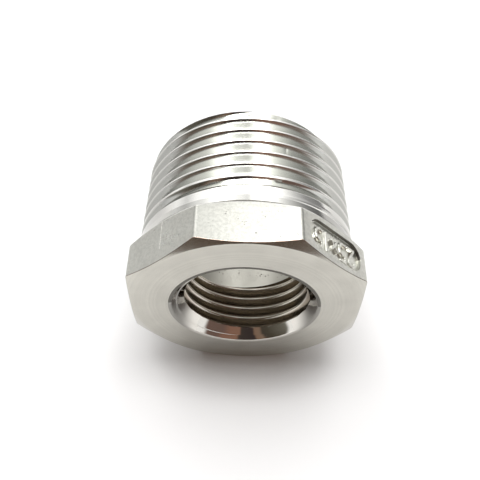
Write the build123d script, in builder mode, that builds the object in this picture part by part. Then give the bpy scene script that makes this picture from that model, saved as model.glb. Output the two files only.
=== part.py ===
"""A reducing bushing for pipe, 1 inch outside to 1/2 inch inside, in millimetres.

It is one casting, machined where it seals. The axis lies along Y: the octagonal head's
front face is at Y = 0 and faces -Y, and the tapered outside thread ends at the far +Y
end. The piece lies on one flat of its head, with +Z up, so the origin is the centre
of the front face.
"""

import os
from math import atan, cos, degrees, pi, radians, tan

from build123d import *

inch = 25.4

# Head: an octagonal prism whose corners are turned off at both ends
flat_count = 8
across_flats = 34.5
head_length = 7.0
face_circle_inside_flats = 0.3
face_chamfer_angle = 27.5
back_circle_inside_flats = 0.25
back_chamfer_angle = 30.0

# Whole piece, along the axis
overall_length = 25.5

# Whitworth form, shared by both threads
flank_angle = 27.5
depth_per_pitch = 0.640327
crest_per_pitch = 1 / 6

# Outside thread: 1 inch taper, 11 threads to the inch, 1 in 16 on diameter
male_major_diameter = 33.249
male_threads_per_inch = 11
male_gauge_length = 10.39
taper_on_diameter = 1 / 16
male_root_at_top = 10.9
runout_turns = 1.25
runout_angle_at_land = 14.0
end_chamfer_width = 0.47
end_chamfer_length = 1.0

# Inside thread: 1/2 inch parallel, 14 threads to the inch, from the front face
female_major_diameter = 20.955
female_threads_per_inch = 14
female_length = 9.8
female_root_at_top = 1.65

# Mouth of the inside thread: a countersink with a rounded edge
countersink_diameter = 21.7
countersink_angle = 80.0
mouth_round = 0.4

# Cored hollow behind the inside thread, open at the far end
core_diameter = 25.0
core_corner_radius = 1.6
core_edge_chamfer = 0.4

# Recessed panel on the flat up and to the right, where size marks stand on such a part
panel_length = 11.5
panel_width = 4.6
panel_depth = 0.5
panel_middle = 3.5
panel_offset = 0.2

# Room that a cutting tool takes past a surface, and its small step where two cuts meet
cutter_overrun = 0.25
cutter_step = 0.03
cutter_overlap_angle = 10.0

full_turn = 360.0
axis_direction = Vector(0, 1, 0)

male_pitch = inch / male_threads_per_inch
female_pitch = inch / female_threads_per_inch
male_depth = depth_per_pitch * male_pitch
female_depth = depth_per_pitch * female_pitch
female_minor_diameter = female_major_diameter - 2 * female_depth
taper_on_radius = taper_on_diameter / 2
taper_angle = degrees(atan(taper_on_radius))
gauge_place = overall_length - male_gauge_length
head_hole_radius = (male_major_diameter / 2 - male_depth + core_diameter / 2) / 2


def crest_radius(place):
    """Radius of the tapered barrel at a distance along the axis from the front face."""
    return male_major_diameter / 2 + (gauge_place - place) * taper_on_radius


def turned_angle(place, root_at_top, pitch):
    """Angle of a groove's root about the axis, clockwise from the top, at a place."""
    return full_turn * (place - root_at_top) / pitch


def groove_cutter(pitch, root_radius, start, turns, cone_angle, outward):
    """A helical cutter that runs from start towards the front face.

    Its section is a trapezoid in a plane through the axis: narrow at the root, and
    wider by the flank angle up to a little past the surface that it cuts. It opens
    away from the axis where outward is 1, and towards the axis where it is -1.
    """
    reach = depth_per_pitch * pitch + cutter_overrun
    root_half = crest_per_pitch * pitch / 2
    open_half = root_half + reach * tan(radians(flank_angle))
    with BuildPart() as cutter:
        with BuildLine() as path:
            Helix(
                pitch=pitch,
                height=turns * pitch,
                radius=root_radius,
                center=(0, start, 0),
                direction=(0, -1, 0),
                cone_angle=cone_angle,
            )
        root_point = path.line @ 0
        opening = Vector(root_point.X, 0, root_point.Z).normalized() * outward
        section_plane = Plane(
            origin=root_point, x_dir=opening, z_dir=opening.cross(axis_direction)
        )
        with BuildSketch(section_plane):
            with BuildLine():
                Polyline(
                    (0, -root_half),
                    (reach, -open_half),
                    (reach, open_half),
                    (0, root_half),
                    close=True,
                )
            make_face()
        sweep(is_frenet=True)
    return cutter.part


# The helix of a cutter starts at the bottom of the piece, half a turn from the top
helix_start_angle = full_turn / 2

# Both threads are cut in a blank that is longer than the piece and is trimmed after
blank_overrun = 2 * male_pitch

# Outside thread: the full groove, then its run-out, which lifts out of the land
male_start = overall_length + male_pitch
male_start_root = crest_radius(male_start) - male_depth
runout_end = male_root_at_top + male_pitch * (runout_angle_at_land / full_turn - 1)
male_full_end = runout_end + runout_turns * male_pitch
male_groove = groove_cutter(
    pitch=male_pitch,
    root_radius=male_start_root,
    start=male_start,
    turns=(male_start - male_full_end) / male_pitch,
    cone_angle=taper_angle,
    outward=1,
)
male_groove_turn = turned_angle(male_start, male_root_at_top, male_pitch) - helix_start_angle

runout_start = male_full_end + male_pitch * cutter_overlap_angle / full_turn
runout_travel = runout_start - runout_end
runout_lift = crest_radius(runout_end) - crest_radius(runout_start) + male_depth
runout_groove = groove_cutter(
    pitch=male_pitch,
    root_radius=crest_radius(runout_start) - male_depth + cutter_step,
    start=runout_start,
    turns=runout_travel / male_pitch,
    cone_angle=degrees(atan(runout_lift / runout_travel)),
    outward=1,
)
runout_groove_turn = turned_angle(runout_start, male_root_at_top, male_pitch) - helix_start_angle

# Inside thread: the groove runs in from the hollow and out through the mouth
female_start = female_length + female_pitch / 2
female_groove = groove_cutter(
    pitch=female_pitch,
    root_radius=female_major_diameter / 2,
    start=female_start,
    turns=female_start / female_pitch + 1,
    cone_angle=0,
    outward=-1,
)
female_groove_turn = (
    turned_angle(female_start, female_root_at_top, female_pitch) - helix_start_angle
)

# The front face, looking along the axis into the piece
front_plane = Plane(origin=(0, 0, 0), x_dir=(-1, 0, 0), z_dir=(0, 1, 0))

# The panel's flat is the next one round from the top, towards +X
panel_angle = full_turn / flat_count
panel_normal = Vector(0, 0, 1).rotate(Axis.Y, panel_angle)
panel_along = Vector(1, 0, 0).rotate(Axis.Y, panel_angle)
panel_plane = Plane(
    origin=panel_normal * (across_flats / 2)
    + panel_along * panel_offset
    + axis_direction * panel_middle,
    x_dir=panel_along,
    z_dir=panel_normal,
)

# Head, an octagonal ring with one flat down. Its hole lies inside the barrel's wall.
corner_radius = across_flats / 2 / cos(pi / flat_count)
with BuildPart() as head:
    with BuildSketch(front_plane):
        RegularPolygon(
            radius=across_flats / 2,
            side_count=flat_count,
            major_radius=False,
            rotation=full_turn / flat_count / 2,
        )
    extrude(amount=head_length)

    # Both ends of the head are turned off in cones, which round its corners
    turning_radius = corner_radius + cutter_overrun
    face_radius = across_flats / 2 - face_circle_inside_flats
    back_radius = across_flats / 2 - back_circle_inside_flats
    face_set_back = (turning_radius - face_radius) * tan(radians(face_chamfer_angle))
    back_set_back = (turning_radius - back_radius) * tan(radians(back_chamfer_angle))
    with BuildSketch(Plane.YZ):
        with BuildLine():
            Polyline(
                (0, head_hole_radius),
                (0, face_radius),
                (face_set_back, turning_radius),
                (head_length - back_set_back, turning_radius),
                (head_length, back_radius),
                (head_length, head_hole_radius),
                close=True,
            )
        make_face()
    revolve(axis=Axis.Y, mode=Mode.INTERSECT)

with BuildPart() as bushing:
    # Over-long tapered barrel with its tapping hole, as large as the outside crests
    blank_end = overall_length + blank_overrun
    tapping_radius = female_minor_diameter / 2
    with BuildSketch(Plane.YZ):
        with BuildLine():
            Polyline(
                (-blank_overrun, tapping_radius),
                (-blank_overrun, crest_radius(-blank_overrun)),
                (blank_end, crest_radius(blank_end)),
                (blank_end, tapping_radius),
                close=True,
            )
        make_face()
    revolve(axis=Axis.Y)

    # Outside thread and its run-out, then the inside thread
    add(male_groove, rotation=(0, male_groove_turn, 0), mode=Mode.SUBTRACT)
    add(runout_groove, rotation=(0, runout_groove_turn, 0), mode=Mode.SUBTRACT)
    add(female_groove, rotation=(0, female_groove_turn, 0), mode=Mode.SUBTRACT)

    # The barrel is trimmed at the front face, and to a chamfer at the far end
    chamfer_foot = overall_length - end_chamfer_length
    end_radius = crest_radius(overall_length) - end_chamfer_width
    outside_radius = crest_radius(-blank_overrun)
    with BuildSketch(Plane.YZ):
        with BuildLine():
            Polyline(
                (0, 0),
                (0, outside_radius),
                (chamfer_foot, outside_radius),
                (chamfer_foot, crest_radius(chamfer_foot)),
                (overall_length, end_radius),
                (overall_length, 0),
                close=True,
            )
        make_face()
    revolve(axis=Axis.Y, mode=Mode.INTERSECT)

    add(head.part)

    # Cored hollow from the far end, with a round inner corner and a broken outer edge
    core_radius = core_diameter / 2
    corner_start = core_radius - core_corner_radius
    with BuildSketch(Plane.YZ):
        with BuildLine():
            Polyline(
                (female_length + core_corner_radius, core_radius),
                (overall_length - core_edge_chamfer, core_radius),
                (overall_length, core_radius + core_edge_chamfer),
                (overall_length, 0),
                (female_length, 0),
                (female_length, corner_start),
            )
            RadiusArc(
                (female_length, corner_start),
                (female_length + core_corner_radius, core_radius),
                core_corner_radius,
            )
        make_face()
    revolve(axis=Axis.Y, mode=Mode.SUBTRACT)

    # Countersink and rounded edge of the mouth
    mouth_radius = countersink_diameter / 2
    sink_slope = tan(radians(countersink_angle / 2))
    sink_depth = mouth_radius / sink_slope
    with BuildSketch(Plane.YZ) as sink_profile:
        with BuildLine():
            Polyline((0, 0), (0, mouth_radius), (sink_depth, 0), close=True)
        make_face()
    revolve(axis=Axis.Y, mode=Mode.SUBTRACT)
    mouth_edge = (
        bushing.edges()
        .filter_by(GeomType.CIRCLE)
        .filter_by(lambda edge: abs(edge.center().Y) < cutter_step)
        .sort_by(lambda edge: edge.radius)[0]
    )
    fillet(mouth_edge, radius=mouth_round)

    # Recessed panel with round ends
    with BuildSketch(panel_plane):
        SlotOverall(panel_length, panel_width)
    extrude(amount=-panel_depth, mode=Mode.SUBTRACT)

bushing.part.label = "bushing"

os.makedirs("parts", exist_ok=True)
export_step(bushing.part, "parts/bushing.step")
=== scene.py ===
"""Looks of a reducing pipe bushing: its casting, turned faces, threads, finishes and studio.

Lengths are in millimetres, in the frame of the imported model: the axis lies along Y, the
head's front face is at Y = 0, and +Z is up. Angles that a class holds are in degrees. Arrays
of angles round the axis are in radians, from the top, clockwise looking along +Y.
"""

import logging
from dataclasses import dataclass, field
from enum import Enum
from functools import cached_property
from typing import Any, Sequence

import bmesh
import bpy
import numpy as np
from mathutils import Matrix, Vector


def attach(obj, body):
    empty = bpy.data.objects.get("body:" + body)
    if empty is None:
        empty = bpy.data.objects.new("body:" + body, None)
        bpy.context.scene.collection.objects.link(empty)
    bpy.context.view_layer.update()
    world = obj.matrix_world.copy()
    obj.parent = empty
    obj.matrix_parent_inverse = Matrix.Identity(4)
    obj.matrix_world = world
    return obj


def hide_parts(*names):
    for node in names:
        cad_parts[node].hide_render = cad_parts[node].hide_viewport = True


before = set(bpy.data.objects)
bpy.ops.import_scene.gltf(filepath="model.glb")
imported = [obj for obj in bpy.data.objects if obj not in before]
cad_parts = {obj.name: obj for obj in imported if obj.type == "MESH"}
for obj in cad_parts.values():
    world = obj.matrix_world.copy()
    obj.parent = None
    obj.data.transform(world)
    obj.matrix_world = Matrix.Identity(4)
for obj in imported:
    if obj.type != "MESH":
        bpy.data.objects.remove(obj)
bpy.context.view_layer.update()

log = logging.getLogger("bushing")
logging.basicConfig(level=logging.INFO, format="%(message)s")

Colour = tuple[float, float, float]

MM = 0.001
INCH = 25.4
TURN = 2 * np.pi
WHITE: Colour = (1.0, 1.0, 1.0)


# Grids and meshes

# Points closer than WELD are merged, and edges shorter than SLIVER are taken out
WELD = 2e-3 * MM
SLIVER = 1e-4 * MM

# A rounded corner has CURVE_STEPS steps and takes at most LEG_SHARE of either leg
CURVE_STEPS = 4
LEG_SHARE = 0.45


@dataclass
class Block:
    """Rows of a closed surface that are one form.

    Attributes:
        points: rows x columns x 3 places in millimetres; columns go round the axis.
        finish: which finish the block's faces take, for all or as rows x columns.
        shift: rows that a helical block climbs in one turn, or 0 for plain rings.
    """

    points: np.ndarray
    finish: int | np.ndarray
    shift: int = 0


def place_rings(y: np.ndarray, radius: np.ndarray, angles: np.ndarray) -> np.ndarray:
    """Carries a meridian round the axis: x = radius sin(angle), z = radius cos(angle)."""
    return np.stack([radius * np.sin(angles), y, radius * np.cos(angles)], axis=-1)


def round_profile(
    corners: Sequence[Sequence[Any]], rounds: Sequence[float], columns: int
) -> np.ndarray:
    """Rounds the inner corners of a meridian polyline, for all columns at once.

    Each corner P becomes the quadratic curve from P + s a to P + s b, where a and b are
    the unit directions to its neighbours and s is its set-back.

    Args:
        corners: (y, radius) of each corner; either may be an array with a value a column.
        rounds: set-back of each corner; 0 keeps it sharp.
        columns: number of columns.

    Returns:
        rows x columns x 2 values of (y, radius).
    """
    p = np.array([[np.broadcast_to(part, columns) for part in corner] for corner in corners])
    p = p.transpose(0, 2, 1)
    rows = []
    t = np.linspace(0, 1, CURVE_STEPS + 1)[:, None, None]
    for k, setback in enumerate(rounds):
        if setback <= 0 or k in (0, len(p) - 1):
            rows.append(p[k][None])
            continue
        back, ahead = p[k - 1] - p[k], p[k + 1] - p[k]
        back_length = np.linalg.norm(back, axis=-1, keepdims=True)
        ahead_length = np.linalg.norm(ahead, axis=-1, keepdims=True)
        start = p[k] + back / back_length * np.minimum(setback, LEG_SHARE * back_length)
        end = p[k] + ahead / ahead_length * np.minimum(setback, LEG_SHARE * ahead_length)
        rows.append((1 - t) ** 2 * start + 2 * t * (1 - t) * p[k] + t**2 * end)
    return np.concatenate(rows)


def turn_outwards(mesh: bpy.types.Mesh, merge: bool = False) -> None:
    """Turns a closed mesh's faces outwards.

    Args:
        mesh: the mesh.
        merge: whether its doubles are merged and its slivers taken out first.
    """
    work = bmesh.new()
    work.from_mesh(mesh)
    if merge:
        bmesh.ops.remove_doubles(work, verts=work.verts, dist=WELD)
        bmesh.ops.dissolve_degenerate(work, edges=work.edges, dist=SLIVER)
    bmesh.ops.recalc_face_normals(work, faces=work.faces)
    work.to_mesh(mesh)
    work.free()


def closed_mesh(name: str, blocks: Sequence[Block]) -> bpy.types.Mesh:
    """Joins blocks into one closed surface, the last block back to the first.

    Between two rows, quad (j, i) has corners (j, i), (j, i+1), (j+1, i+1), (j+1, i). In a
    helical block the column after the last is the first column, `shift` rows on.

    Args:
        name: the mesh's name.
        blocks: the surface's blocks in order.

    Returns:
        The mesh in metres, with its doubles merged and outward faces.
    """
    columns = blocks[0].points.shape[1]
    starts = columns * np.cumsum([0] + [len(block.points) for block in blocks])
    i = np.arange(columns)
    after = (i + 1) % columns
    quads, finishes = [], []
    for k, block in enumerate(blocks):
        rows = len(block.points)
        j = np.arange(rows - 1)[:, None]
        climb = np.where(after == 0, block.shift, 0)[None]
        low = np.clip(j + climb, 0, rows - 1)
        high = np.clip(j + 1 + climb, 0, rows - 1)
        ends = [low * columns + after, high * columns + after]
        corners = np.stack([j * columns + i, *ends, (j + 1) * columns + i], -1)
        quads.append(starts[k] + corners[low < high])
        each = np.broadcast_to(block.finish, (rows, columns))
        finishes.append(each[:-1][low < high])
        end = starts[k] + (rows - 1) * columns
        beyond = starts[(k + 1) % len(blocks)]
        quads.append(np.stack([end + i, end + after, beyond + after, beyond + i], -1))
        finishes.append(each[-1])
    points = np.concatenate([block.points.reshape(-1, 3) for block in blocks]) * MM
    mesh = bpy.data.meshes.new(name)
    mesh.from_pydata(points.tolist(), [], np.concatenate(quads).tolist())
    mesh.polygons.foreach_set("material_index", np.concatenate(finishes).astype(np.int32))
    turn_outwards(mesh, merge=True)
    mesh.shade_smooth()
    return mesh


def slab_mesh(name: str, top: np.ndarray, bottom: np.ndarray) -> bpy.types.Mesh:
    """Closes the space between two grids with walls between their borders.

    Args:
        name: the mesh's name.
        top: rows x columns x 3 places in millimetres.
        bottom: as many places under them.

    Returns:
        The mesh in metres, with outward faces.
    """
    rows, columns = top.shape[:2]
    under = rows * columns
    index = np.arange(under).reshape(rows, columns)
    quads = np.stack([index[:-1, :-1], index[1:, :-1], index[1:, 1:], index[:-1, 1:]], -1)
    quads = quads.reshape(-1, 4)
    border = np.concatenate([index[:-1, 0], index[-1, :-1], index[:0:-1, -1], index[0, :0:-1]])
    ahead = np.roll(border, -1)
    walls = np.stack([border, ahead, ahead + under, border + under], -1)
    points = np.concatenate([top.reshape(-1, 3), bottom.reshape(-1, 3)]) * MM
    faces = np.concatenate([quads[:, ::-1], quads + under, walls])
    mesh = bpy.data.meshes.new(name)
    mesh.from_pydata(points.tolist(), [], faces.tolist())
    turn_outwards(mesh)
    mesh.shade_smooth()
    return mesh


def add_object(name: str, data: bpy.types.ID) -> bpy.types.Object:
    """Puts a mesh or a camera into the scene, its object at the origin.

    Args:
        name: the object's name.
        data: what it shows.

    Returns:
        The object.
    """
    piece = bpy.data.objects.new(name, data)
    bpy.context.scene.collection.objects.link(piece)
    return piece


def smooth_step(value: np.ndarray, low: float, high: float) -> np.ndarray:
    """0 below low, 1 above high, and 3 t^2 - 2 t^3 between them."""
    t = np.clip((value - low) / (high - low), 0, 1)
    return t * t * (3 - 2 * t)


def soft_ramp(value: np.ndarray, reach: float | np.ndarray) -> np.ndarray:
    """0 below zero and the value above it, with (value + reach)^2 / (4 reach) round zero."""
    curve = (value + reach) ** 2 / (4 * reach)
    return np.where(np.abs(value) < reach, curve, np.maximum(value, 0))


# Shader maths


class Link:
    """An output of a shader node, on which Python's operators add Math nodes."""

    def __init__(self, nodes: "Nodes", socket: bpy.types.NodeSocket) -> None:
        """Wraps a socket of a node tree."""
        self.nodes = nodes
        self.socket = socket

    def math(self, operation: str, *others: Any, first: Any = None) -> "Link":
        """A Math node on this link, or on `first` and this link where that is given."""
        values = ([first, self] if first is not None else [self]) + list(others)
        return self.nodes.add(
            "ShaderNodeMath", {"operation": operation}, dict(enumerate(values))
        )

    def __add__(self, other: Any) -> "Link":
        """Sum."""
        return self.math("ADD", other)

    __radd__ = __add__

    def __sub__(self, other: Any) -> "Link":
        """Difference."""
        return self.math("SUBTRACT", other)

    def __rsub__(self, other: Any) -> "Link":
        """Reflected difference."""
        return self.math("SUBTRACT", first=other)

    def __mul__(self, other: Any) -> "Link":
        """Product."""
        return self.math("MULTIPLY", other)

    __rmul__ = __mul__

    def __truediv__(self, other: Any) -> "Link":
        """Quotient."""
        return self.math("DIVIDE", other)

    def __rtruediv__(self, other: Any) -> "Link":
        """Reflected quotient."""
        return self.math("DIVIDE", first=other)

    def __pow__(self, other: Any) -> "Link":
        """Power."""
        return self.math("POWER", other)

    def __abs__(self) -> "Link":
        """Size without sign."""
        return self.math("ABSOLUTE")

    def clamp(self) -> "Link":
        """The value held between 0 and 1."""
        return self.math("MAXIMUM", 0.0).math("MINIMUM", 1.0)

    def step(self, low: float, high: float) -> "Link":
        """A smooth step between two values.

        Args:
            low: where it is 0.
            high: where it is 1, which may be below low.

        Returns:
            The step.
        """
        ends = {1: low, 2: high, 3: 0.0, 4: 1.0}
        if high < low:
            ends = {1: high, 2: low, 3: 1.0, 4: 0.0}
        settings = {"interpolation_type": "SMOOTHSTEP"}
        return self.nodes.add("ShaderNodeMapRange", settings, {0: self, **ends})

    def bump_box(self, low: float, high: float, soft: float) -> "Link":
        """1 between low and high, fading to 0 over `soft` on each side."""
        return self.step(low - soft, low) * self.step(high + soft, high)


class Nodes:
    """Adds nodes to one tree."""

    def __init__(self, tree: bpy.types.NodeTree) -> None:
        """Clears the tree."""
        self.tree = tree
        tree.nodes.clear()

    def add(
        self,
        kind: str,
        settings: dict | None = None,
        inputs: dict | None = None,
        output: int | str = 0,
    ) -> Link:
        """Adds a node.

        Args:
            kind: the node's type.
            settings: attributes, set first; "stops" holds a ramp's (place, colour) pairs.
            inputs: links or values of sockets, by name or index.
            output: which output to return, by name or index.

        Returns:
            The output as a link.
        """
        node = self.tree.nodes.new(kind)
        for key, value in (settings or {}).items():
            if key == "stops":
                ramp = node.color_ramp
                while len(ramp.elements) < len(value):
                    ramp.elements.new(1.0)
                for element, (place, colour) in zip(ramp.elements, value):
                    element.position = place
                    element.color = (*colour, 1.0)
            else:
                setattr(node, key, value)
        for key, value in (inputs or {}).items():
            if isinstance(value, Link):
                self.tree.links.new(value.socket, node.inputs[key])
            else:
                node.inputs[key].default_value = value
        return Link(self, node.outputs[output])

    def output(self, kind: str, shader: Link) -> None:
        """Adds the tree's output node and feeds its surface."""
        self.tree.links.new(shader.socket, self.tree.nodes.new(kind).inputs["Surface"])

    def split(self, vector: Link) -> tuple[Link, Link, Link]:
        """The three parts of a vector, from one node."""
        parts = self.add("ShaderNodeSeparateXYZ", None, {0: vector}).socket.node.outputs
        return tuple(Link(self, part) for part in parts)

    def join(self, x: Any, y: Any, z: Any) -> Link:
        """A vector from three parts."""
        return self.add("ShaderNodeCombineXYZ", None, {0: x, 1: y, 2: z})

    def scale(self, vector: Link, factor: Any) -> Link:
        """A vector or colour times a number."""
        return self.add(
            "ShaderNodeVectorMath", {"operation": "SCALE"}, {0: vector, "Scale": factor}
        )

    def angle(self, across: Link, along: Link) -> Link:
        """The angle of (across, along) from the second, in degrees."""
        turn = self.add("ShaderNodeMath", {"operation": "ARCTAN2"}, {0: across, 1: along})
        return turn * (360 / TURN)

    def mix(self, factor: Link, first: Link | Colour, second: Link | Colour) -> Link:
        """A colour between two, by a factor."""
        ends = [end if isinstance(end, Link) else (*end, 1.0) for end in (first, second)]
        return self.add(
            "ShaderNodeMix", {"data_type": "RGBA"}, {0: factor, 6: ends[0], 7: ends[1]}, 2
        )

    def noise(self, vector: Link, scale: float, detail: float, roughness: float) -> Link:
        """Cloudy noise between 0 and 1; scale is in cells a unit of the vector."""
        return self.add(
            "ShaderNodeTexNoise",
            {"noise_dimensions": "3D"},
            {"Vector": vector, "Scale": scale, "Detail": detail, "Roughness": roughness},
            "Fac",
        )

    def cells(self, vector: Link, scale: float) -> Link:
        """Distance to the nearest of scattered points, in cells."""
        return self.add(
            "ShaderNodeTexVoronoi",
            {"feature": "F1"},
            {"Vector": vector, "Scale": scale},
            "Distance",
        )


# Finishes, some of them with painted shade and painted light

# Shares of a finish's blotch that its roughness takes from drift, grain and tool marks
DRIFT_SHARE, GRAIN_SHARE, MARK_SHARE = 0.6, 0.4, 0.8

# Noises as cells a millimetre, detail and roughness; the first two get their cells from
# the finish's grain size and mark pitch
GRAIN_NOISE = (5.0, 0.62)
MARK_NOISE = (4.0, 0.7)
DRIFT_NOISE = (0.22, 3.0, 0.5)
SPOT_NOISE = (2.2, 5.0, 0.75)
STREAK_NOISE = (2.0, 5.0, 0.75)
SWAY_NOISE = (0.8, 3.0, 0.6)
PIT_NOISE = (0.7, 2.0, 0.5)

# Smooth steps of a noise or a distance: where it is 0, then where it is 1
SPOT_EDGE = (0.42, 0.60)
SCRATCH_EDGE = (0.09, 0.03)
SCRATCH_GRAIN = (0.38, 0.50)
SCRATCH_SIDE = (-9.0, -9.5)
PIT_EDGE = (0.26, 0.12)

# Tint: the drift from which it starts, and how fast it grows
TINT_FROM, TINT_GAIN, TINT_SHARE = 0.35, 1.6, 2.0

# Streaks: what the rings and the drift add, and from which sum they darken
STREAK_RINGS, STREAK_DRIFT, STREAK_FROM = 1.4, 0.6, 0.5

# A scratch: how far it sways, how long it fades at its ends, and how much of it shows
SCRATCH_SWAY, SCRATCH_FADE, SCRATCH_SHARE = 0.5, 0.3, 0.7
SCRATCH_COLOUR: Colour = (0.95, 0.95, 0.90)

# Pits: cells in a grain, how much of them shows, depth in grain depths, added roughness,
# and the step of the slow noise that keeps them, before their share is taken off
PIT_CELLS, PIT_SHARE, PIT_DEPTH, PIT_ROUGHNESS = 0.9, 0.75, 2.5, 0.3
PIT_SPREAD = (0.62, 0.72)
PIT_COLOUR: Colour = (0.08, 0.07, 0.06)

# Loss of radius for each millimetre along the outside thread: 1 in 16 on its diameter
TAPER = 1 / 32


class Lay(Enum):
    """Which way a tool's marks run on a turned surface."""

    FACE = "rings about the axis on a flat or conical face"
    BARREL = "rings about the axis along a barrel"
    NONE = "no tool marks"


@dataclass(frozen=True)
class Finish:
    """One way that the steel was left, as a procedural material; some also carry painted shade
    and painted light.

    Attributes:
        name: the material's name.
        colour: the bare metal's colour, linear.
        roughness: middle roughness.
        lay: direction of the tool marks.
        mark_pitch: distance between tool marks.
        mark_depth: height of tool marks.
        grain_size: size of the cast or tumbled grain.
        grain_depth: height of that grain.
        blotch: how far roughness and colour drift over the surface.
        pits: share of dark pits.
        tint: colour that the drift goes towards.
        groove: radii at y = 0 between which painted shade below the crests starts, and its
            colour.
        taper: loss of those radii for each millimetre of y.
        painted_side_shares: how much of the colour is left on the sides towards -X and +X, as
            painted shade there, and as painted light where it is above 1.
        painted_side_fade: distance aside where that painted change starts and where it is whole.
        mottle: how much of the colour fine dark spots take away.
        streaks: how much of the colour broad tool marks take away.
        scratch: a bright line on the flat towards -X and +Z: its place along the flat,
            and the y where it starts and ends.
    """

    name: str
    colour: Colour
    roughness: float
    lay: Lay = Lay.NONE
    mark_pitch: float = 0.12
    mark_depth: float = 0.0
    grain_size: float = 0.3
    grain_depth: float = 0.0
    blotch: float = 0.15
    pits: float = 0.0
    tint: Colour = (0.42, 0.40, 0.36)
    groove: tuple[float, float, Colour] | None = None
    taper: float = 0.0
    painted_side_shares: tuple[float, float] = (1.0, 1.0)
    painted_side_fade: tuple[float, float] = (7.0, 8.5)
    mottle: float = 0.0
    streaks: float = 0.0
    scratch: tuple[float, float, float] | None = None

    def make(self) -> bpy.types.Material:
        """Builds the material's nodes on Object coordinates, in millimetres.

        Returns:
            The material.
        """
        material = bpy.data.materials.new(self.name)
        material.use_nodes = True
        nodes = Nodes(material.node_tree)
        place = nodes.scale(nodes.add("ShaderNodeTexCoord", output="Object"), 1 / MM)
        x, y, z = nodes.split(place)
        radius = (x * x + z * z) ** 0.5
        travel = y if self.lay is Lay.BARREL else radius

        drift = nodes.noise(place, *DRIFT_NOISE)
        grain = nodes.noise(place, 1 / self.grain_size, *GRAIN_NOISE)
        height = grain * self.grain_depth
        roughness = self.roughness + (drift - 0.5) * (self.blotch * DRIFT_SHARE)
        roughness = roughness + (grain - 0.5) * (self.blotch * GRAIN_SHARE)
        if self.lay is not Lay.NONE:
            marks = self.tool_marks(nodes, travel)
            height = height + marks * self.mark_depth
            roughness = roughness + (marks - 0.5) * (self.blotch * MARK_SHARE)

        tinted = ((drift - TINT_FROM) * TINT_GAIN).clamp() * (self.blotch * TINT_SHARE)
        colour = nodes.mix(tinted, self.colour, self.tint)
        # Painted shade in the thread's grooves: below the crests the colour goes to a darker one
        if self.groove:
            crest_edge, shade_edge, groove_shade = self.groove
            depth = (radius + y * self.taper).step(crest_edge, shade_edge)
            colour = nodes.mix(depth, colour, groove_shade)
        # Painted shade on the sides, and painted light where a side share is above 1
        share = self.painted_side_share(x)
        if self.mottle:
            spots = nodes.noise(place, *SPOT_NOISE).step(*SPOT_EDGE)
            share = share * (1 - spots * self.mottle)
        if self.streaks:
            rings = nodes.noise(nodes.join(travel, 0.0, 0.0), *STREAK_NOISE)
            worn = rings * STREAK_RINGS + drift * STREAK_DRIFT - STREAK_FROM
            share = share * (1 - worn.clamp() * self.streaks)
        colour = nodes.scale(colour, share)
        if self.scratch:
            line = self.scratch_line(nodes, (x, y, z)) * grain.step(*SCRATCH_GRAIN)
            colour = nodes.mix(line * SCRATCH_SHARE, colour, SCRATCH_COLOUR)
        if self.pits:
            pit = self.pit_mask(nodes, place)
            colour = nodes.mix(pit * PIT_SHARE, colour, PIT_COLOUR)
            height = height - pit * (self.grain_depth * PIT_DEPTH)
            roughness = roughness + pit * PIT_ROUGHNESS

        bump = {"Strength": 1.0, "Distance": MM, "Height": height}
        looks = {
            "Base Color": colour,
            "Metallic": 1.0,
            "Roughness": roughness.clamp(),
            "Normal": nodes.add("ShaderNodeBump", None, bump, "Normal"),
        }
        shader = nodes.add("ShaderNodeBsdfPrincipled", None, looks, "BSDF")
        nodes.output("ShaderNodeOutputMaterial", shader)
        return material

    def tool_marks(self, nodes: Nodes, travel: Link) -> Link:
        """Uneven rings: a noise in one direction, whose cells are mark_pitch wide."""
        return nodes.noise(nodes.join(travel, 0.0, 0.0), 1 / self.mark_pitch, *MARK_NOISE)

    def painted_side_share(self, x: Link) -> Link:
        """The share of colour at a distance aside: 1 in the middle, painted_side_shares far out;
        below 1 it is painted shade, above 1 painted light.
        """
        left, right = (1 - share for share in self.painted_side_shares)
        return 1 - (-1 * x).step(*self.painted_side_fade) * left - x.step(*self.painted_side_fade) * right

    def scratch_line(self, nodes: Nodes, parts: tuple[Link, Link, Link]) -> Link:
        """The scratch: a thin wavering line along Y, between its two ends.

        Args:
            nodes: the material's nodes.
            parts: x, y and z of the place.

        Returns:
            1 on the line and 0 away from it.
        """
        x, y, z = parts
        along, first, last = self.scratch
        wiggle = (nodes.noise(nodes.join(0.0, y, 0.0), *SWAY_NOISE) - 0.5) * SCRATCH_SWAY
        line = abs((x + z) * float(np.sqrt(0.5)) + wiggle - along).step(*SCRATCH_EDGE)
        return line * y.bump_box(first, last, SCRATCH_FADE) * x.step(*SCRATCH_SIDE)

    def pit_mask(self, nodes: Nodes, place: Link) -> Link:
        """Small round spots, one in most cells, kept only where a slow noise is high.

        Args:
            nodes: the material's nodes.
            place: Object coordinates in millimetres.

        Returns:
            1 in a pit and 0 beside it.
        """
        holes = nodes.cells(place, PIT_CELLS / self.grain_size).step(*PIT_EDGE)
        low, high = (edge - self.pits for edge in PIT_SPREAD)
        return holes * nodes.noise(place, *PIT_NOISE).step(low, high)


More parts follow.
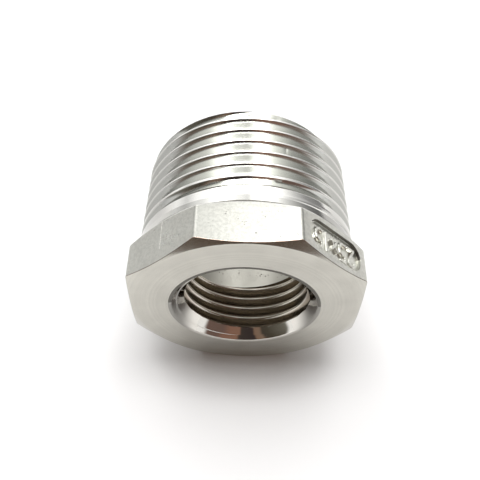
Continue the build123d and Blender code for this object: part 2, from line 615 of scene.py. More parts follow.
FINISHES: tuple[Finish, ...] = (
    Finish(
        "turned_face", (0.65, 0.635, 0.575), 0.20, Lay.FACE, mark_pitch=0.10, mark_depth=0.0050,
        grain_size=0.25, grain_depth=0.0006, blotch=0.10, streaks=0.30,
    ),
    # turned_chamfer: its warm brown colour is a painted reflection of the dark room in front, and
    # its darker sides are painted shade
    Finish(
        "turned_chamfer", (0.72, 0.57, 0.48), 0.12, Lay.FACE, mark_pitch=0.10, mark_depth=0.0012,
        grain_size=0.22, grain_depth=0.0004, blotch=0.08, pits=0.48, painted_side_shares=(0.20, 0.15),
    ),
    # tumbled_flat: its darker side towards -X is painted shade
    Finish(
        "tumbled_flat", (0.62, 0.62, 0.57), 0.30, grain_size=0.30, grain_depth=0.030,
        blotch=0.20, pits=0.03, painted_side_shares=(0.72, 1.0), painted_side_fade=(-1.0, 8.5), mottle=0.16,
        scratch=(0.2, 2.2, 6.6),
    ),
    # turned_land: its darker sides are painted shade
    Finish(
        "turned_land", (0.68, 0.675, 0.64), 0.16, Lay.BARREL, mark_pitch=0.12, mark_depth=0.0014,
        grain_depth=0.0004, blotch=0.06, painted_side_shares=(0.80, 0.62), painted_side_fade=(7.0, 11.5),
    ),
    # cut_thread: the darker colour below the crests is painted shade, and so are its darker sides
    Finish(
        "cut_thread", (0.92, 0.91, 0.87), 0.14, Lay.BARREL, mark_pitch=0.08, mark_depth=0.0008,
        grain_depth=0.0004, blotch=0.08, groove=(17.05, 16.92, (0.68, 0.685, 0.65)), taper=TAPER,
        painted_side_shares=(0.54, 0.66), painted_side_fade=(9.0, 13.0),
    ),
    Finish(
        "end_face", (0.70, 0.69, 0.63), 0.28, Lay.FACE, mark_pitch=0.12, mark_depth=0.0022,
        grain_depth=0.0006, blotch=0.12,
    ),
    Finish(
        "cast_core", (0.44, 0.43, 0.385), 0.40, grain_size=0.45, grain_depth=0.030,
        blotch=0.25, pits=0.12,
    ),
    # inside_thread: the dark brown below its crests is painted shade, and its lighter sides
    # painted light
    Finish(
        "inside_thread", (0.46, 0.435, 0.39), 0.20, Lay.BARREL, mark_pitch=0.08,
        mark_depth=0.0006, grain_depth=0.0002, blotch=0.10,
        groove=(9.40, 9.62, (0.28, 0.245, 0.20)), painted_side_shares=(1.6, 1.6), painted_side_fade=(2.0, 7.5),
    ),
    Finish(
        "panel_floor", (0.66, 0.66, 0.60), 0.28, grain_size=0.35, grain_depth=0.012,
        blotch=0.16, pits=0.02,
    ),
    # polished_sink: its darker sides are painted shade
    Finish(
        "polished_sink", (0.74, 0.72, 0.67), 0.07, Lay.FACE, mark_pitch=0.10, mark_depth=0.0003,
        grain_depth=0.0001, blotch=0.04, painted_side_shares=(0.42, 0.42), painted_side_fade=(7.8, 10.2),
    ),
    # shaded_wall: a dark colour that paints shade on the rim's top, the barrel's foot and the
    # pocket's back wall
    Finish(
        "shaded_wall", (0.13, 0.125, 0.11), 0.35, grain_size=0.2, grain_depth=0.010, blotch=0.10
    ),
)
FINISH_INDEX: dict[str, int] = {finish.name: k for k, finish in enumerate(FINISHES)}


def choose_finish(mask: np.ndarray, first: str, second: str) -> np.ndarray:
    """Index of the first finish where the mask holds, and of the second elsewhere."""
    return np.where(mask, FINISH_INDEX[first], FINISH_INDEX[second])


# The bushing

# Form of both threads: depth and root flat as shares of the pitch, and width of a flank
# for each millimetre of depth
DEPTH_SHARE = 0.640327
FLAT_SHARE = 1 / 6
FLANK_SLOPE = float(np.tan(np.radians(27.5)))


@dataclass
class Columns:
    """Angles of the surface's columns round the axis, closer together at the head's corners."""

    sectors: int = 8
    even_cells: int = 30
    near_corner: tuple[float, ...] = (-0.9, -0.55, -0.2, 0.2, 0.55, 0.9)

    def angles(self) -> np.ndarray:
        """Angles from the top; a corner lies midway between two flats.

        Returns:
            One angle for each column.
        """
        sector = 360 / self.sectors
        even = np.arange(self.even_cells) * sector / self.even_cells
        one = np.sort(np.concatenate([even, sector / 2 + np.array(self.near_corner)]))
        return np.radians((np.arange(self.sectors)[:, None] * sector + one).ravel())


@dataclass
class Thread:
    """A helical groove of trapezoid form, whose flanks lie 27.5 degrees off square.

    Attributes:
        pitch: travel in one turn.
        root_at_top: y of one groove's middle at the top.
        crest: radius of the crests at y = 0.
        taper: loss of radius for each millimetre of y.
        outward: True for an outside thread.
        start: y where the surface's helical rows begin.
        end: y where they end.
        fade_from: turns from root_at_top at which the groove starts to deepen.
        fade_turns: turns that it takes to reach full depth.
        crest_round: how soft the crests' corners are.
        root_round: how soft the roots' corners are.
        phases: places of the surface's rows within a pitch, from a root's middle.
    """

    pitch: float
    root_at_top: float
    crest: float
    taper: float
    outward: bool
    start: float
    end: float
    fade_from: float
    fade_turns: float
    crest_round: float
    root_round: float
    phases: tuple[float, ...]

    def cut(self, y: np.ndarray, angles: np.ndarray) -> np.ndarray:
        """Depth below the crests: full at the root, less by distance / slope past its flat.

        Args:
            y: places along the axis.
            angles: their angles.

        Returns:
            The depth at each place.
        """
        turns = (y - self.root_at_top) / self.pitch - angles / TURN
        nearest = np.round(turns)
        away = np.abs(turns - nearest) * self.pitch
        along = nearest + angles / TURN - self.fade_from
        full = DEPTH_SHARE * self.pitch * np.clip(along / self.fade_turns, 0, 1)
        wall = full - (away - FLAT_SHARE * self.pitch / 2) / FLANK_SLOPE
        above = soft_ramp(wall, self.crest_round)
        never_zero = 1e-6
        return full - soft_ramp(full - above, np.minimum(self.root_round, full / 2) + never_zero)

    def radius(self, y: np.ndarray, angles: np.ndarray) -> np.ndarray:
        """Radius of the threaded surface: the crests' less the cut, or plus it inside."""
        cut = self.cut(y, angles)
        return self.crest - self.taper * y + (-cut if self.outward else cut)

    def rows(self, angles: np.ndarray) -> tuple[np.ndarray, int]:
        """Places along y of helical rows, held between the thread's two ends.

        Row (n, phase) lies at root_at_top + pitch (n + phase + angle / turn).

        Args:
            angles: the columns' angles.

        Returns:
            rows x columns values of y, and how many rows make a turn.
        """
        first = int(np.floor((self.start - self.root_at_top) / self.pitch)) - 2
        last = int(np.ceil((self.end - self.root_at_top) / self.pitch)) + 1
        turns = (np.arange(first, last)[:, None] + np.array(self.phases)).ravel()
        y = self.root_at_top + self.pitch * (turns[:, None] + angles[None] / TURN)
        return np.clip(y, self.start, self.end), len(self.phases)


def outside_thread() -> Thread:
    """The 1 inch taper thread, whose gauge plane lies 15.11 mm behind the front face."""
    return Thread(
        pitch=INCH / 11, root_at_top=10.9, crest=33.249 / 2 + 15.11 * TAPER, taper=TAPER,
        outward=True, start=8.35, end=25.5, fade_from=14 / 360 - 1, fade_turns=1.25,
        crest_round=0.20, root_round=0.12,
        phases=(
            0.05, 0.083, 0.12, 0.25, 0.37, 0.395, 0.42, 0.445, 0.47,
            0.53, 0.555, 0.58, 0.605, 0.63, 0.75, 0.88, 0.917, 0.95,
        ),
    )


def inside_thread() -> Thread:
    """The 1/2 inch parallel thread, which starts in the countersink."""
    pitch = INCH / 14
    return Thread(
        pitch=pitch, root_at_top=1.45, crest=20.955 / 2 - DEPTH_SHARE * pitch, taper=0.0,
        outward=False, start=2.2, end=9.8, fade_from=-0.30, fade_turns=0.35,
        crest_round=0.10, root_round=0.08,
        phases=(0.06, 0.10, 0.25, 0.385, 0.417, 0.45, 0.55, 0.583, 0.615, 0.75, 0.90, 0.94),
    )


@dataclass
class Nick:
    """A small dent in the crests at y and an angle, with its depth and its reach."""

    y: float
    angle: float
    depth: float
    reach: float

    def dent(self, y: np.ndarray, radius: np.ndarray, angles: np.ndarray) -> np.ndarray:
        """depth exp(-(distance / reach)^2), where distance is measured over the surface.

        Args:
            y: places along the axis.
            radius: their radii.
            angles: their angles.

        Returns:
            What the dent takes off each radius.
        """
        turn = (angles - np.radians(self.angle) + np.pi) % TURN - np.pi
        away = (y - self.y) ** 2 + (turn * radius) ** 2
        return self.depth * np.exp(-away / self.reach**2)


@dataclass
class Bushing:
    """The casting: octagonal head, taper-threaded barrel, cored hollow and threaded mouth.

    Its surface is one closed strip: from the mouth over the face, the flats and the outside
    thread to the far end, and back through the core and the inside thread.
    """

    # Head: corners turned off in a cone at each end, each from a circle on its flat end.
    # The flats' own rows keep a margin from the front and back cones.
    across_flats: float = 34.5
    corner_blend: float = 0.30
    head_length: float = 7.0
    face_radius: float = 17.0
    face_angle: float = 24.0
    face_ring: float = 13.8
    back_radius: float = 17.0
    back_angle: float = 30.0
    flat_rows: int = 7
    flat_margins: tuple[float, float] = (0.06, 0.2)

    # Barrel: a ring of painted shade at its foot, a chamfer at its far end and a ring on its end
    # face
    foot_shade: float = 0.36
    length: float = 25.5
    chamfer_width: float = 0.47
    chamfer_length: float = 1.0
    end_ring: float = 14.3

    # Cored hollow from the far end
    core_radius: float = 12.5
    core_start: float = 9.8
    core_corner: float = 1.6
    core_break: float = 0.4
    core_rings: tuple[float, float] = (20.0, 15.0)

    # Mouth: a countersink whose rim is wider on the left, with a small step there. The
    # rim's rounding has painted shade down to rim_shade of its set-back, where the angle's
    # cosine is above rim_shade_above.
    mouth_radius: float = 10.85
    mouth_slope: float = float(np.tan(np.radians(40)))
    mouth_round: float = 0.14
    mouth_aside: float = 0.28
    rim_flat: float = 0.5
    rim_shade: float = 0.4
    rim_shade_above: float = 0.1
    step_depth: float = 0.62
    step_width: float = 0.16
    step_fade: tuple[float, float] = (0.5, 0.8)
    sink_start: float = 0.72
    sink_rows: float = 0.06

    # Set-backs of the rounded edges, and a hair that keeps two rows of points apart
    edge_round: float = 0.03
    chamfer_round: float = 0.05
    back_round: float = 0.2
    back_edge_round: float = 0.1
    foot_round: float = 0.04
    core_edge_round: float = 0.12
    core_wall_round: float = 0.1
    hair: float = 0.01

    columns: Columns = field(default_factory=Columns)
    male: Thread = field(default_factory=outside_thread)
    female: Thread = field(default_factory=inside_thread)
    nicks: tuple[Nick, ...] = (
        Nick(y=24.87, angle=16.6, depth=0.30, reach=0.30),
        Nick(y=17.17, angle=22.3, depth=0.16, reach=0.22),
        Nick(y=18.9, angle=-58.5, depth=0.14, reach=0.22),
    )

    # Angle from which two faces of the body meet in a sharp edge
    sharp_angle: float = 40.0

    @cached_property
    def angles(self) -> np.ndarray:
        """The columns' angles."""
        return self.columns.angles()

    @cached_property
    def flat(self) -> np.ndarray:
        """Radius of the octagon at each column, with its corners blended.

        Each flat gives apothem / cos(angle from its middle). Of the two nearest flats the
        smaller counts, and within corner_blend of each other they are blended smoothly.

        Returns:
            The radii.
        """
        sector = TURN / self.columns.sectors
        from_middle = np.abs((self.angles + sector / 2) % sector - sector / 2)
        apothem = self.across_flats / 2
        near, far = apothem / np.cos(from_middle), apothem / np.cos(sector - from_middle)
        h = np.clip(0.5 + 0.5 * (far - near) / self.corner_blend, 0, 1)
        return far * (1 - h) + near * h - self.corner_blend * h * (1 - h)

    @cached_property
    def face_back(self) -> np.ndarray:
        """y at which the front cone meets the octagon."""
        return (self.flat - self.face_radius) * np.tan(np.radians(self.face_angle))

    @cached_property
    def back_start(self) -> np.ndarray:
        """y at which the back cone meets the octagon."""
        cone = (self.flat - self.back_radius) * np.tan(np.radians(self.back_angle))
        return self.head_length - cone

    def on_barrel(self, y: float) -> tuple[float, float]:
        """(y, radius) of a place on the land or on the outside thread's crests."""
        return (y, self.male.crest - y * self.male.taper)

    def on_core(self, y: float) -> tuple[float, float]:
        """(y, radius) of a place on the core's wall."""
        return (y, self.core_radius)

    @property
    def core_chamfer(self) -> tuple[tuple[float, float], tuple[float, float]]:
        """Both ends of the broken edge where the core meets the end face."""
        edge = (self.length, self.core_radius + self.core_break)
        return edge, self.on_core(self.length - self.core_break)

    def in_sink(self, y: float) -> tuple[float, float]:
        """(y, radius) of a place on the countersink's cone."""
        return (y, self.mouth_radius - y * self.mouth_slope)

    def rings(
        self,
        corners: Sequence[Sequence[Any]],
        rounds: Sequence[float],
        finish: str,
        keep: slice = slice(None),
    ) -> Block:
        """A block of plain rings from a rounded meridian, of which the kept rows stay."""
        rows = round_profile(corners, rounds, len(self.angles))[keep]
        return Block(place_rings(rows[..., 0], rows[..., 1], self.angles), FINISH_INDEX[finish])

    def blocks(self) -> list[Block]:
        """The whole surface, from the mouth over the outside and back through the bore."""
        return [*self.front(), *self.head(), *self.barrel(), *self.bore(), self.sink()]

    def front(self) -> list[Block]:
        """The mouth's rim and the flat face.

        Leftward is (1 - sin angle) / 2, and the rim's radius grows by mouth_aside times its
        square. The small step in the countersink fades in with it.

        Returns:
            The two blocks.
        """
        leftward = (1 - np.sin(self.angles)) / 2
        rim = self.mouth_radius + self.mouth_aside * leftward**2
        step = self.hair + self.step_width * smooth_step(leftward, *self.step_fade)
        ledge = self.in_sink(self.step_depth)
        mouth, beyond = (0.0, rim), (0.0, rim + self.rim_flat)
        step_edge = (self.step_depth - self.hair, ledge[1] + step)
        rim_rows = self.rings(
            [self.in_sink(self.sink_start), ledge, step_edge, mouth, beyond],
            [0, self.edge_round, self.edge_round, self.mouth_round, 0],
            "polished_sink",
        )
        # The top of the rim's rounding takes the painted shade finish
        shaded = rim_rows.points[..., 1] < self.mouth_round * self.rim_shade
        shaded &= np.cos(self.angles) > self.rim_shade_above
        rim_rows.finish = choose_finish(shaded, "shaded_wall", "polished_sink")
        face_edge = (0.0, self.face_radius)
        face = self.rings(
            [mouth, beyond, (0.0, self.face_ring), face_edge, (self.face_back, self.flat)],
            [0, 0, 0, self.edge_round, 0],
            "turned_face",
            slice(1, -1),
        )
        return [rim_rows, face]

    def head(self) -> list[Block]:
        """The front cone, the flats, and the back cone with the back of the head.

        Returns:
            The three blocks.
        """
        front_corner, back_corner = (self.face_back, self.flat), (self.back_start, self.flat)
        chamfer = self.rings(
            [(0.0, self.face_radius), front_corner, back_corner],
            [0, self.chamfer_round, 0],
            "turned_chamfer",
            slice(1, -1),
        )
        front_margin, back_margin = self.flat_margins
        first, last = self.face_back + front_margin, self.back_start - back_margin
        y = np.linspace(first, last, self.flat_rows)
        radius = np.broadcast_to(self.flat, y.shape)
        flats = Block(place_rings(y, radius, self.angles), FINISH_INDEX["tumbled_flat"])
        back_edge = (self.head_length, self.back_radius)
        foot = self.on_barrel(self.head_length)
        back = self.rings(
            [(self.back_start - 1, self.flat), back_corner, back_edge, foot],
            [0, self.back_round, self.back_edge_round, 0],
            "turned_land",
            slice(1, -1),
        )
        return [chamfer, flats, back]

    def barrel(self) -> list[Block]:
        """The land, the outside thread with its chamfer and nicks, and the far end's face.

        Returns:
            The three blocks.
        """
        shade_end = self.head_length + self.foot_shade
        land = self.rings(
            [
                (self.head_length, self.back_radius),
                self.on_barrel(self.head_length),
                self.on_barrel(shade_end),
                self.on_barrel(self.male.start),
            ],
            [0, self.foot_round, 0, 0],
            "turned_land",
            slice(1, None),
        )
        # The ring at the land's foot takes the painted shade finish
        shaded = land.points[..., 1] < shade_end - self.hair
        land.finish = choose_finish(shaded, "shaded_wall", "turned_land")

        y, climb = self.male.rows(self.angles)
        radius = self.male.radius(y, np.broadcast_to(self.angles, y.shape))
        end_radius = self.on_barrel(self.length)[1] - self.chamfer_width
        cone = end_radius + (self.length - y) * self.chamfer_width / self.chamfer_length
        radius = np.minimum(radius, cone)
        for nick in self.nicks:
            radius = radius - nick.dent(y, radius, self.angles[None])
        thread = Block(place_rings(y, radius, self.angles), FINISH_INDEX["cut_thread"], climb)

        thread_end = (self.length, radius[-1] - self.edge_round)
        end = self.rings(
            [thread_end, (self.length, self.end_ring), *self.core_chamfer],
            [0, 0, self.core_edge_round, 0],
            "end_face",
            slice(None, -1),
        )
        return [land, thread, end]

    def bore(self) -> list[Block]:
        """The core's wall and inner corner, and the inside thread.

        Returns:
            The two blocks.
        """
        y, climb = self.female.rows(self.angles)
        y = y[::-1]
        radius = self.female.radius(y, np.broadcast_to(self.angles, y.shape))
        wall = map(self.on_core, (*self.core_rings, self.core_start))
        core = self.rings(
            [*self.core_chamfer, *wall, (self.core_start, radius[0] + 2 * self.hair)],
            [0, self.core_wall_round, 0, 0, self.core_corner, 0],
            "cast_core",
            slice(1, None),
        )
        thread = Block(place_rings(y, radius, self.angles), FINISH_INDEX["inside_thread"], -climb)
        return [core, thread]

    def sink(self) -> Block:
        """The countersink: close rings, as wide as the wider of its cone and the thread.

        Returns:
            The block.
        """
        places = np.arange(self.female.start, self.sink_start, -self.sink_rows)[1:]
        y = places[:, None] + 0 * self.angles
        thread = self.female.radius(y, np.broadcast_to(self.angles, y.shape))
        cone = self.in_sink(y)[1]
        radius = thread + soft_ramp(cone - thread, self.edge_round)
        finish = choose_finish(cone > thread, "polished_sink", "inside_thread")
        return Block(place_rings(y, radius, self.angles), finish)

    def build(self) -> bpy.types.Object:
        """Makes the casting's object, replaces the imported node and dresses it.

        Returns:
            The piece.
        """
        mesh = closed_mesh("bushing_body", self.blocks())
        piece = add_object("bushing_body", mesh)
        for finish in FINISHES:
            mesh.materials.append(finish.make())
        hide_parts("bushing")
        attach(piece, "root")
        return piece


# The size panel


class Glyph(Enum):
    """Plain size numbers: width, and the points of a polyline in a box 3 mm high."""

    ONE = (0.95, ((0.10, 2.35), (0.70, 3.0), (0.70, 0.0)))
    TWO = (
        1.55,
        (
            (0.08, 2.25), (0.15, 2.65), (0.45, 2.95), (0.85, 3.0), (1.25, 2.85),
            (1.45, 2.45), (1.40, 2.0), (1.10, 1.45), (0.10, 0.0), (1.52, 0.0),
        ),
    )
    FIVE = (
        1.50,
        (
            (1.38, 3.0), (0.25, 3.0), (0.15, 1.72), (0.50, 1.95), (0.90, 1.95), (1.28, 1.70),
            (1.45, 1.20), (1.38, 0.55), (1.05, 0.12), (0.60, 0.0), (0.10, 0.25),
        ),
    )
    TIMES_RISE = (0.0, ((0.05, 0.55), (1.20, 2.0)))
    TIMES_FALL = (1.25, ((0.05, 2.0), (1.20, 0.55)))


@dataclass
class SizePanel:
    """Sunk stadium on the flat up and to the right, with raised plain size numbers.

    Places on the flat are (u, v): u along it and down to the right, v towards +Y.
    """

    # The flat's distance from the axis, and its middle's angle from the top
    apothem: float = 17.25
    turn: float = 45.0

    # The stadium, and how far its edge is rounded outwards
    middle_u: float = 0.2
    middle_v: float = 3.5
    length: float = 11.5
    width: float = 4.6
    depth: float = 0.5
    rim: float = 0.04

    # Its wall takes the painted shade finish where the sine of the angle round it is above
    # wall_shade
    wall_columns: int = 120
    wall_shade: float = 0.15

    # Numbers: height over the floor, half widths of a stroke, space between two, v of the feet
    text: tuple[Glyph, ...] = (
        Glyph.TWO, Glyph.FIVE, Glyph.TIMES_RISE, Glyph.TIMES_FALL, Glyph.ONE, Glyph.FIVE,
    )
    number_height: float = 0.40
    stroke_top: float = 0.16
    stroke_foot: float = 0.30
    gap: float = 0.50
    baseline: float = 4.62

    # Floor: its rise at the foot of the wall, how far it goes in under the wall, and the
    # height of its underside
    corner_reach: float = 0.18
    corner_rise: float = 0.05
    floor_margin: float = 0.15
    floor_under: float = -1.1
    grid_step: float = 0.05

    # Angle from which two faces of the floor meet in a sharp edge
    sharp_angle: float = 60.0

    @property
    def half(self) -> float:
        """Half the length of the stadium's middle line."""
        return (self.length - self.width) / 2

    def place(self, u: np.ndarray, v: np.ndarray, w: np.ndarray) -> np.ndarray:
        """Places of (u, v) at height w: u along + v axis + (apothem + w) normal.

        Args:
            u: distances along the flat.
            v: distances towards +Y.
            w: heights above the flat.

        Returns:
            As many (x, y, z).
        """
        a = np.radians(self.turn)
        out = self.apothem + w
        return np.stack([u * np.cos(a) + out * np.sin(a), v, out * np.cos(a) - u * np.sin(a)], -1)

    def cutter(self) -> bpy.types.Mesh:
        """The pocket's negative, rings that are each a stadium of its own width at a height.

        A stadium's point is the nearest point of its middle line plus a radius in a direction.

        Returns:
            The mesh in metres, its back wall in the painted shade finish.
        """
        # Height of each ring, and how far it lies outside the stadium
        heights, outsets = np.array(
            [
                (0.5, self.rim),
                (0.012, self.rim),
                (-0.015, self.rim / 3),
                (-0.05, 0.0),
                (-self.depth - self.floor_margin, -0.05),
            ]
        ).T[..., None]
        count, spans = self.wall_columns, len(heights) - 1
        way = (np.arange(count) + 0.5) / count * TURN
        radius = self.width / 2 + outsets
        u = self.middle_u + np.sign(np.cos(way)) * self.half + radius * np.cos(way)
        v = self.middle_v + radius * np.sin(way)
        points = self.place(u, v, np.broadcast_to(heights, u.shape)).reshape(-1, 3) * MM
        i = np.arange(count)
        after = (i + 1) % count
        j = np.arange(spans)[:, None] * count
        quads = np.stack([j + i, j + after, j + count + after, j + count + i], -1)
        caps = [list(range(count)), list(range(spans * count, (spans + 1) * count))]
        mesh = bpy.data.meshes.new("panel_cutter")
        mesh.from_pydata(points.tolist(), [], quads.reshape(-1, 4).tolist() + caps)
        # The pocket's back wall takes the painted shade finish
        back = np.tile(np.sin(way) > self.wall_shade, spans)
        both = np.append(back, [False] * len(caps))
        finish = choose_finish(both, "shaded_wall", "tumbled_flat")
        mesh.polygons.foreach_set("material_index", finish)
        turn_outwards(mesh)
        return mesh

    def sink(self, piece: bpy.types.Object) -> None:
        """Cuts the pocket out of a piece's mesh.

        Args:
            piece: the piece, whose mesh is replaced by the cut one.
        """
        cutter = add_object("panel_cutter", self.cutter())
        cut = piece.modifiers.new("pocket", "BOOLEAN")
        cut.operation, cut.solver, cut.object = "DIFFERENCE", "EXACT", cutter
        graph = bpy.context.evaluated_depsgraph_get()
        mesh = bpy.data.meshes.new_from_object(piece.evaluated_get(graph))
        piece.modifiers.clear()
        plain, piece.data = piece.data, mesh
        bpy.data.meshes.remove(plain)
        bpy.data.meshes.remove(cutter.data)

    def strokes(self) -> np.ndarray:
        """Ends of all strokes; the numbers read along -u, and their tops are at -v.

        Returns:
            (u0, v0, u1, v1) of each stroke.
        """
        widths = np.array([glyph.value[0] for glyph in self.text])
        steps = widths + np.where(widths > 0, self.gap, 0)
        starts = np.concatenate([[0], np.cumsum(steps)[:-1]])
        whole = steps.sum() - self.gap
        ends = []
        for glyph, start in zip(self.text, starts):
            line = np.array(glyph.value[1])
            u = self.middle_u + whole / 2 - start - line[:, 0]
            v = self.baseline - line[:, 1]
            ends.append(np.stack([u[:-1], v[:-1], u[1:], v[1:]], -1))
        return np.concatenate(ends)

    def stroke_distance(self, u: np.ndarray, v: np.ndarray) -> np.ndarray:
        """Distance of places to the nearest stroke's nearest point, held between its ends.

        Args:
            u: a grid of places along the flat.
            v: their places towards +Y.

        Returns:
            The distances.
        """
        ends = self.strokes()
        from_u, from_v = u[..., None] - ends[:, 0], v[..., None] - ends[:, 1]
        run_u, run_v = ends[:, 2] - ends[:, 0], ends[:, 3] - ends[:, 1]
        share = np.clip((from_u * run_u + from_v * run_v) / (run_u**2 + run_v**2), 0, 1)
        return np.hypot(from_u - share * run_u, from_v - share * run_v).min(-1)

    def floor(self) -> bpy.types.Object:
        """The pocket's floor with its numbers, a slab whose top is a height over a grid.

        The height rises by number_height where the distance to the nearest stroke is below
        stroke_top, falls smoothly to nothing at stroke_foot, and rises a little at the wall.

        Returns:
            The piece.
        """
        step = self.grid_step
        half_u, half_v = (size / 2 + self.floor_margin for size in (self.length, self.width))
        u, v = np.meshgrid(
            np.arange(-half_u, half_u + step / 2, step) + self.middle_u,
            np.arange(-half_v, half_v + step / 2, step) + self.middle_v,
            indexing="ij",
        )
        raised = 1 - smooth_step(self.stroke_distance(u, v), self.stroke_top, self.stroke_foot)
        beyond = np.maximum(np.abs(u - self.middle_u) - self.half, 0)
        inside = self.width / 2 - np.hypot(beyond, v - self.middle_v)
        corner = self.corner_rise * (1 - smooth_step(inside, 0.0, self.corner_reach))
        height = -self.depth + self.number_height * raised + corner * (1 - raised)
        top = self.place(u, v, height)
        mesh = slab_mesh("size_panel", top, self.place(u, v, np.full_like(u, self.floor_under)))
        mesh.set_sharp_from_angle(angle=np.radians(self.sharp_angle))
        piece = add_object("size_panel", mesh)
        mesh.materials.append(FINISHES[FINISH_INDEX["panel_floor"]].make())
        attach(piece, "root")
        return piece


# The studio


@dataclass(frozen=True)
class Camera:
    """The photograph's viewpoint, as a place and two directions.

    Attributes:
        place: where it stands.
        forward: where it looks.
        right: what is to its right.
        focal_pixels: focal length in pixels of the frame.
        frame_pixels: width of the frame.
        sensor: width of the sensor.
        clip: nearest and farthest distance that it sees, in metres.
    """

    place: tuple[float, float, float] = (-1.409, -46.530, 84.109)
    forward: tuple[float, float, float] = (0.00403, 0.57449, -0.81850)
    right: tuple[float, float, float] = (0.99973, 0.01644, 0.01646)
    focal_pixels: float = 633.99
    frame_pixels: float = 480.0
    sensor: float = 36.0
    clip: tuple[float, float] = (0.005, 20.0)

    def build(self) -> bpy.types.Object:
        """Adds the camera and makes it the scene's.

        Returns:
            The camera.
        """
        data = bpy.data.cameras.new("camera")
        data.sensor_width = self.sensor
        data.lens = self.focal_pixels / self.frame_pixels * self.sensor
        data.clip_start, data.clip_end = self.clip
        camera = add_object("camera", data)
        forward = Vector(self.forward).normalized()
        right = (Vector(self.right) - forward * forward.dot(Vector(self.right))).normalized()
        turn = Matrix((right, right.cross(forward), -forward)).transposed().to_4x4()
        camera.matrix_world = Matrix.Translation(Vector(self.place) * MM) @ turn
        bpy.context.scene.camera = camera
        return camera


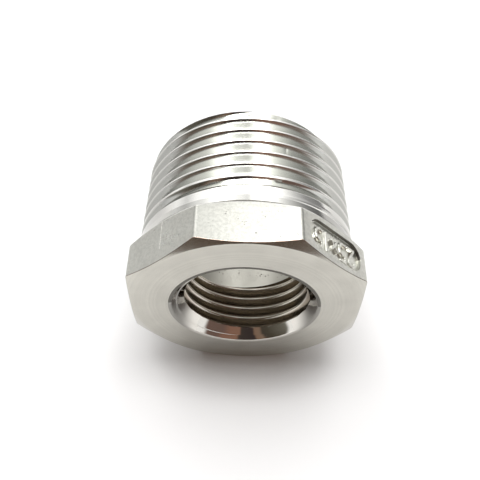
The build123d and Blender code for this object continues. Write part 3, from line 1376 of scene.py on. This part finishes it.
@dataclass(frozen=True)
class Studio:
    """A pale table and the soft light round it.

    Attributes:
        table_height: z of the table's top.
        table_reach: how far it goes back and aside.
        table_front: y of its near edge.
        table_colour: its colour, with its roughness and gloss.
        strength: what all light on the part is multiplied by.
        plain_sky: level of the sky where the ramp doesn't tell it.
        room: level of the room in front.
        lamp: level that the lamp adds.
        sky_by_roll: (roll, level) of the sky behind the part.
        bands: colours of the room in front, from -90 to 90 degrees aside as 0 to 1.
        front_colour: colour low down in front.

    The names that follow are smooth steps of a direction's parts x, y and z, or of `aside`
    in degrees: where a light is 0, then where it is whole. The lamp's x and y are a box and
    its fade. Between told_y and told_end_y the sky goes by sky_by_roll.
    """

    table_height: float = -17.25
    table_reach: float = 3000.0
    table_front: float = -80.0
    table_colour: Colour = (0.93, 0.93, 0.93)
    table_roughness: float = 0.6
    table_gloss: float = 0.2
    strength: float = 1.05
    plain_sky: float = 1.1
    room: float = 0.10
    lamp: float = 9.0
    sky_by_roll: tuple[tuple[float, float], ...] = (
        (-100, 0.95), (-85, 1.05), (-70, 0.60), (-58, 1.0), (-50, 1.1), (-42, 1.4),
        (-34, 2.6), (-18, 2.6), (-14, 1.35), (-6, 1.35), (-1, 1.0), (3, 1.0), (7, 2.6),
        (24, 2.6), (30, 1.7), (38, 1.15), (50, 0.65), (66, 0.28), (76, 0.24), (94, 0.16),
        (105, 0.7),
    )
    bands: tuple[tuple[float, Colour], ...] = (
        (0.08, (0.90, 0.88, 0.82)),
        (0.13, (0.30, 0.29, 0.26)),
        (0.24, (0.13, 0.12, 0.10)),
        (0.31, (0.07, 0.06, 0.045)),
        (0.35, (0.06, 0.05, 0.04)),
        (0.37, (0.22, 0.15, 0.11)),
        (0.41, (0.22, 0.14, 0.10)),
        (0.425, (0.04, 0.03, 0.03)),
        (0.53, (0.05, 0.04, 0.035)),
        (0.545, (0.25, 0.14, 0.10)),
        (0.63, (0.24, 0.13, 0.095)),
        (0.68, (0.15, 0.10, 0.085)),
        (0.84, (0.17, 0.11, 0.09)),
        (0.89, (0.30, 0.26, 0.22)),
        (0.93, (0.75, 0.72, 0.66)),
    )
    front_colour: Colour = (0.15, 0.112, 0.090)
    sky_y: tuple[float, float] = (-0.05, 0.30)
    told_y: tuple[float, float] = (0.12, 0.28)
    told_end_y: tuple[float, float] = (0.88, 0.74)
    belt_z: tuple[float, float] = (0.30, 0.12)
    lamp_x: tuple[float, float, float] = (-0.30, 0.30, 0.12)
    lamp_y: tuple[float, float, float] = (0.04, 0.22, 0.06)
    lamp_z: tuple[float, float] = (0.0, 0.5)
    near_y: tuple[float, float] = (-0.10, -0.30)
    near_aside: tuple[float, float] = (84, 76)
    near_top_z: tuple[float, float] = (0.98, 0.88)
    near_foot_z: tuple[float, float] = (0.03, 0.13)
    near_slant: float = 0.001
    low_y: tuple[float, float] = (-0.70, -0.85)
    low_z: tuple[float, float] = (0.20, 0.05)

    def build_table(self) -> bpy.types.Object:
        """A wide flat surface under the head; its near edge is close in front.

        Returns:
            The table.
        """
        reach, front, z = self.table_reach * MM, self.table_front * MM, self.table_height * MM
        corners = [(-reach, front, z), (reach, front, z), (reach, reach, z), (-reach, reach, z)]
        mesh = bpy.data.meshes.new("table")
        mesh.from_pydata(corners, [], [(0, 1, 2, 3)])
        table = add_object("table", mesh)
        material = bpy.data.materials.new("white_table")
        material.use_nodes = True
        nodes = Nodes(material.node_tree)
        looks = {
            "Base Color": (*self.table_colour, 1.0),
            "Roughness": self.table_roughness,
            "Specular IOR Level": self.table_gloss,
        }
        shader = nodes.add("ShaderNodeBsdfPrincipled", None, looks, "BSDF")
        nodes.output("ShaderNodeOutputMaterial", shader)
        mesh.materials.append(material)
        return table

    def sky_level(self, nodes: Nodes, parts: tuple[Link, Link, Link]) -> Link:
        """Level of the light from a direction, before the dark parts in front are added.

        Behind the part the level goes by roll, the direction's angle about the Y axis from
        straight up: a dimmer stripe along the top, bright strips beside it, and dark low
        down on the right. A pale belt runs round the horizon, and a lamp hangs overhead.

        Args:
            nodes: the world's nodes.
            parts: x, y and z of the direction.

        Returns:
            The level.
        """
        x, y, z = parts
        top = max(level for _, level in self.sky_by_roll)
        stops = [(turn / 360 + 0.5, (level / top,) * 3) for turn, level in self.sky_by_roll]
        place = nodes.angle(x, z) / 360 + 0.5
        by_roll = nodes.add("ShaderNodeValToRGB", {"stops": stops}, {0: place}) * top
        told = y.step(*self.told_y) * y.step(*self.told_end_y)
        sky = self.plain_sky + (by_roll - self.plain_sky) * told
        level = self.room + (sky - self.room) * y.step(*self.sky_y)
        belt = z.step(*self.belt_z) * (1 - told)
        lamp = x.bump_box(*self.lamp_x) * y.bump_box(*self.lamp_y) * z.step(*self.lamp_z)
        return level + (1 - level) * belt + lamp * self.lamp

    def build_light(self) -> None:
        """The world: a lamp overhead, a soft sky behind the part and a dim room before it.

        `aside` is a direction's angle from -Y seen from above. In front the room is dark,
        in upright bands that go by it, and `low` is the dark place under them. The camera
        itself sees plain white.
        """
        world = bpy.data.worlds.new("studio")
        bpy.context.scene.world = world
        world.use_nodes = True
        nodes = Nodes(world.node_tree)
        x, y, z = nodes.split(nodes.add("ShaderNodeTexCoord", output="Generated"))
        level = self.sky_level(nodes, (x, y, z))

        aside = nodes.angle(x, -1 * y)
        bands = nodes.add("ShaderNodeValToRGB", {"stops": self.bands}, {0: aside / 180 + 0.5})
        near = y.step(*self.near_y) * abs(aside).step(*self.near_aside)
        near = near * z.step(*self.near_top_z)
        near = near * (z - aside * self.near_slant).step(*self.near_foot_z)
        low = y.step(*self.low_y) * z.step(*self.low_z)
        colour = nodes.mix(low, nodes.mix(near, WHITE, bands), self.front_colour)
        strength = level + (1 - level) * (near + low).clamp()

        seen = nodes.add("ShaderNodeLightPath", output="Is Camera Ray")
        looks = {
            "Color": nodes.mix(seen, colour, WHITE),
            "Strength": strength * self.strength * (1 - seen) + seen,
        }
        nodes.output("ShaderNodeOutputWorld", nodes.add("ShaderNodeBackground", None, looks))


def set_view() -> None:
    """Plain view settings."""
    bpy.context.scene.view_settings.view_transform = "Standard"


def main() -> None:
    """Builds the scene in order and reports each piece."""
    set_view()
    Camera().build()
    studio = Studio()
    studio.build_table()
    studio.build_light()
    bushing = Bushing()
    body = bushing.build()
    panel = SizePanel()
    panel.sink(body)
    body.data.set_sharp_from_angle(angle=np.radians(bushing.sharp_angle))
    for piece in (body, panel.floor()):
        log.info("%s: %d faces", piece.name, len(piece.data.polygons))


if __name__ == "__main__":
    main()
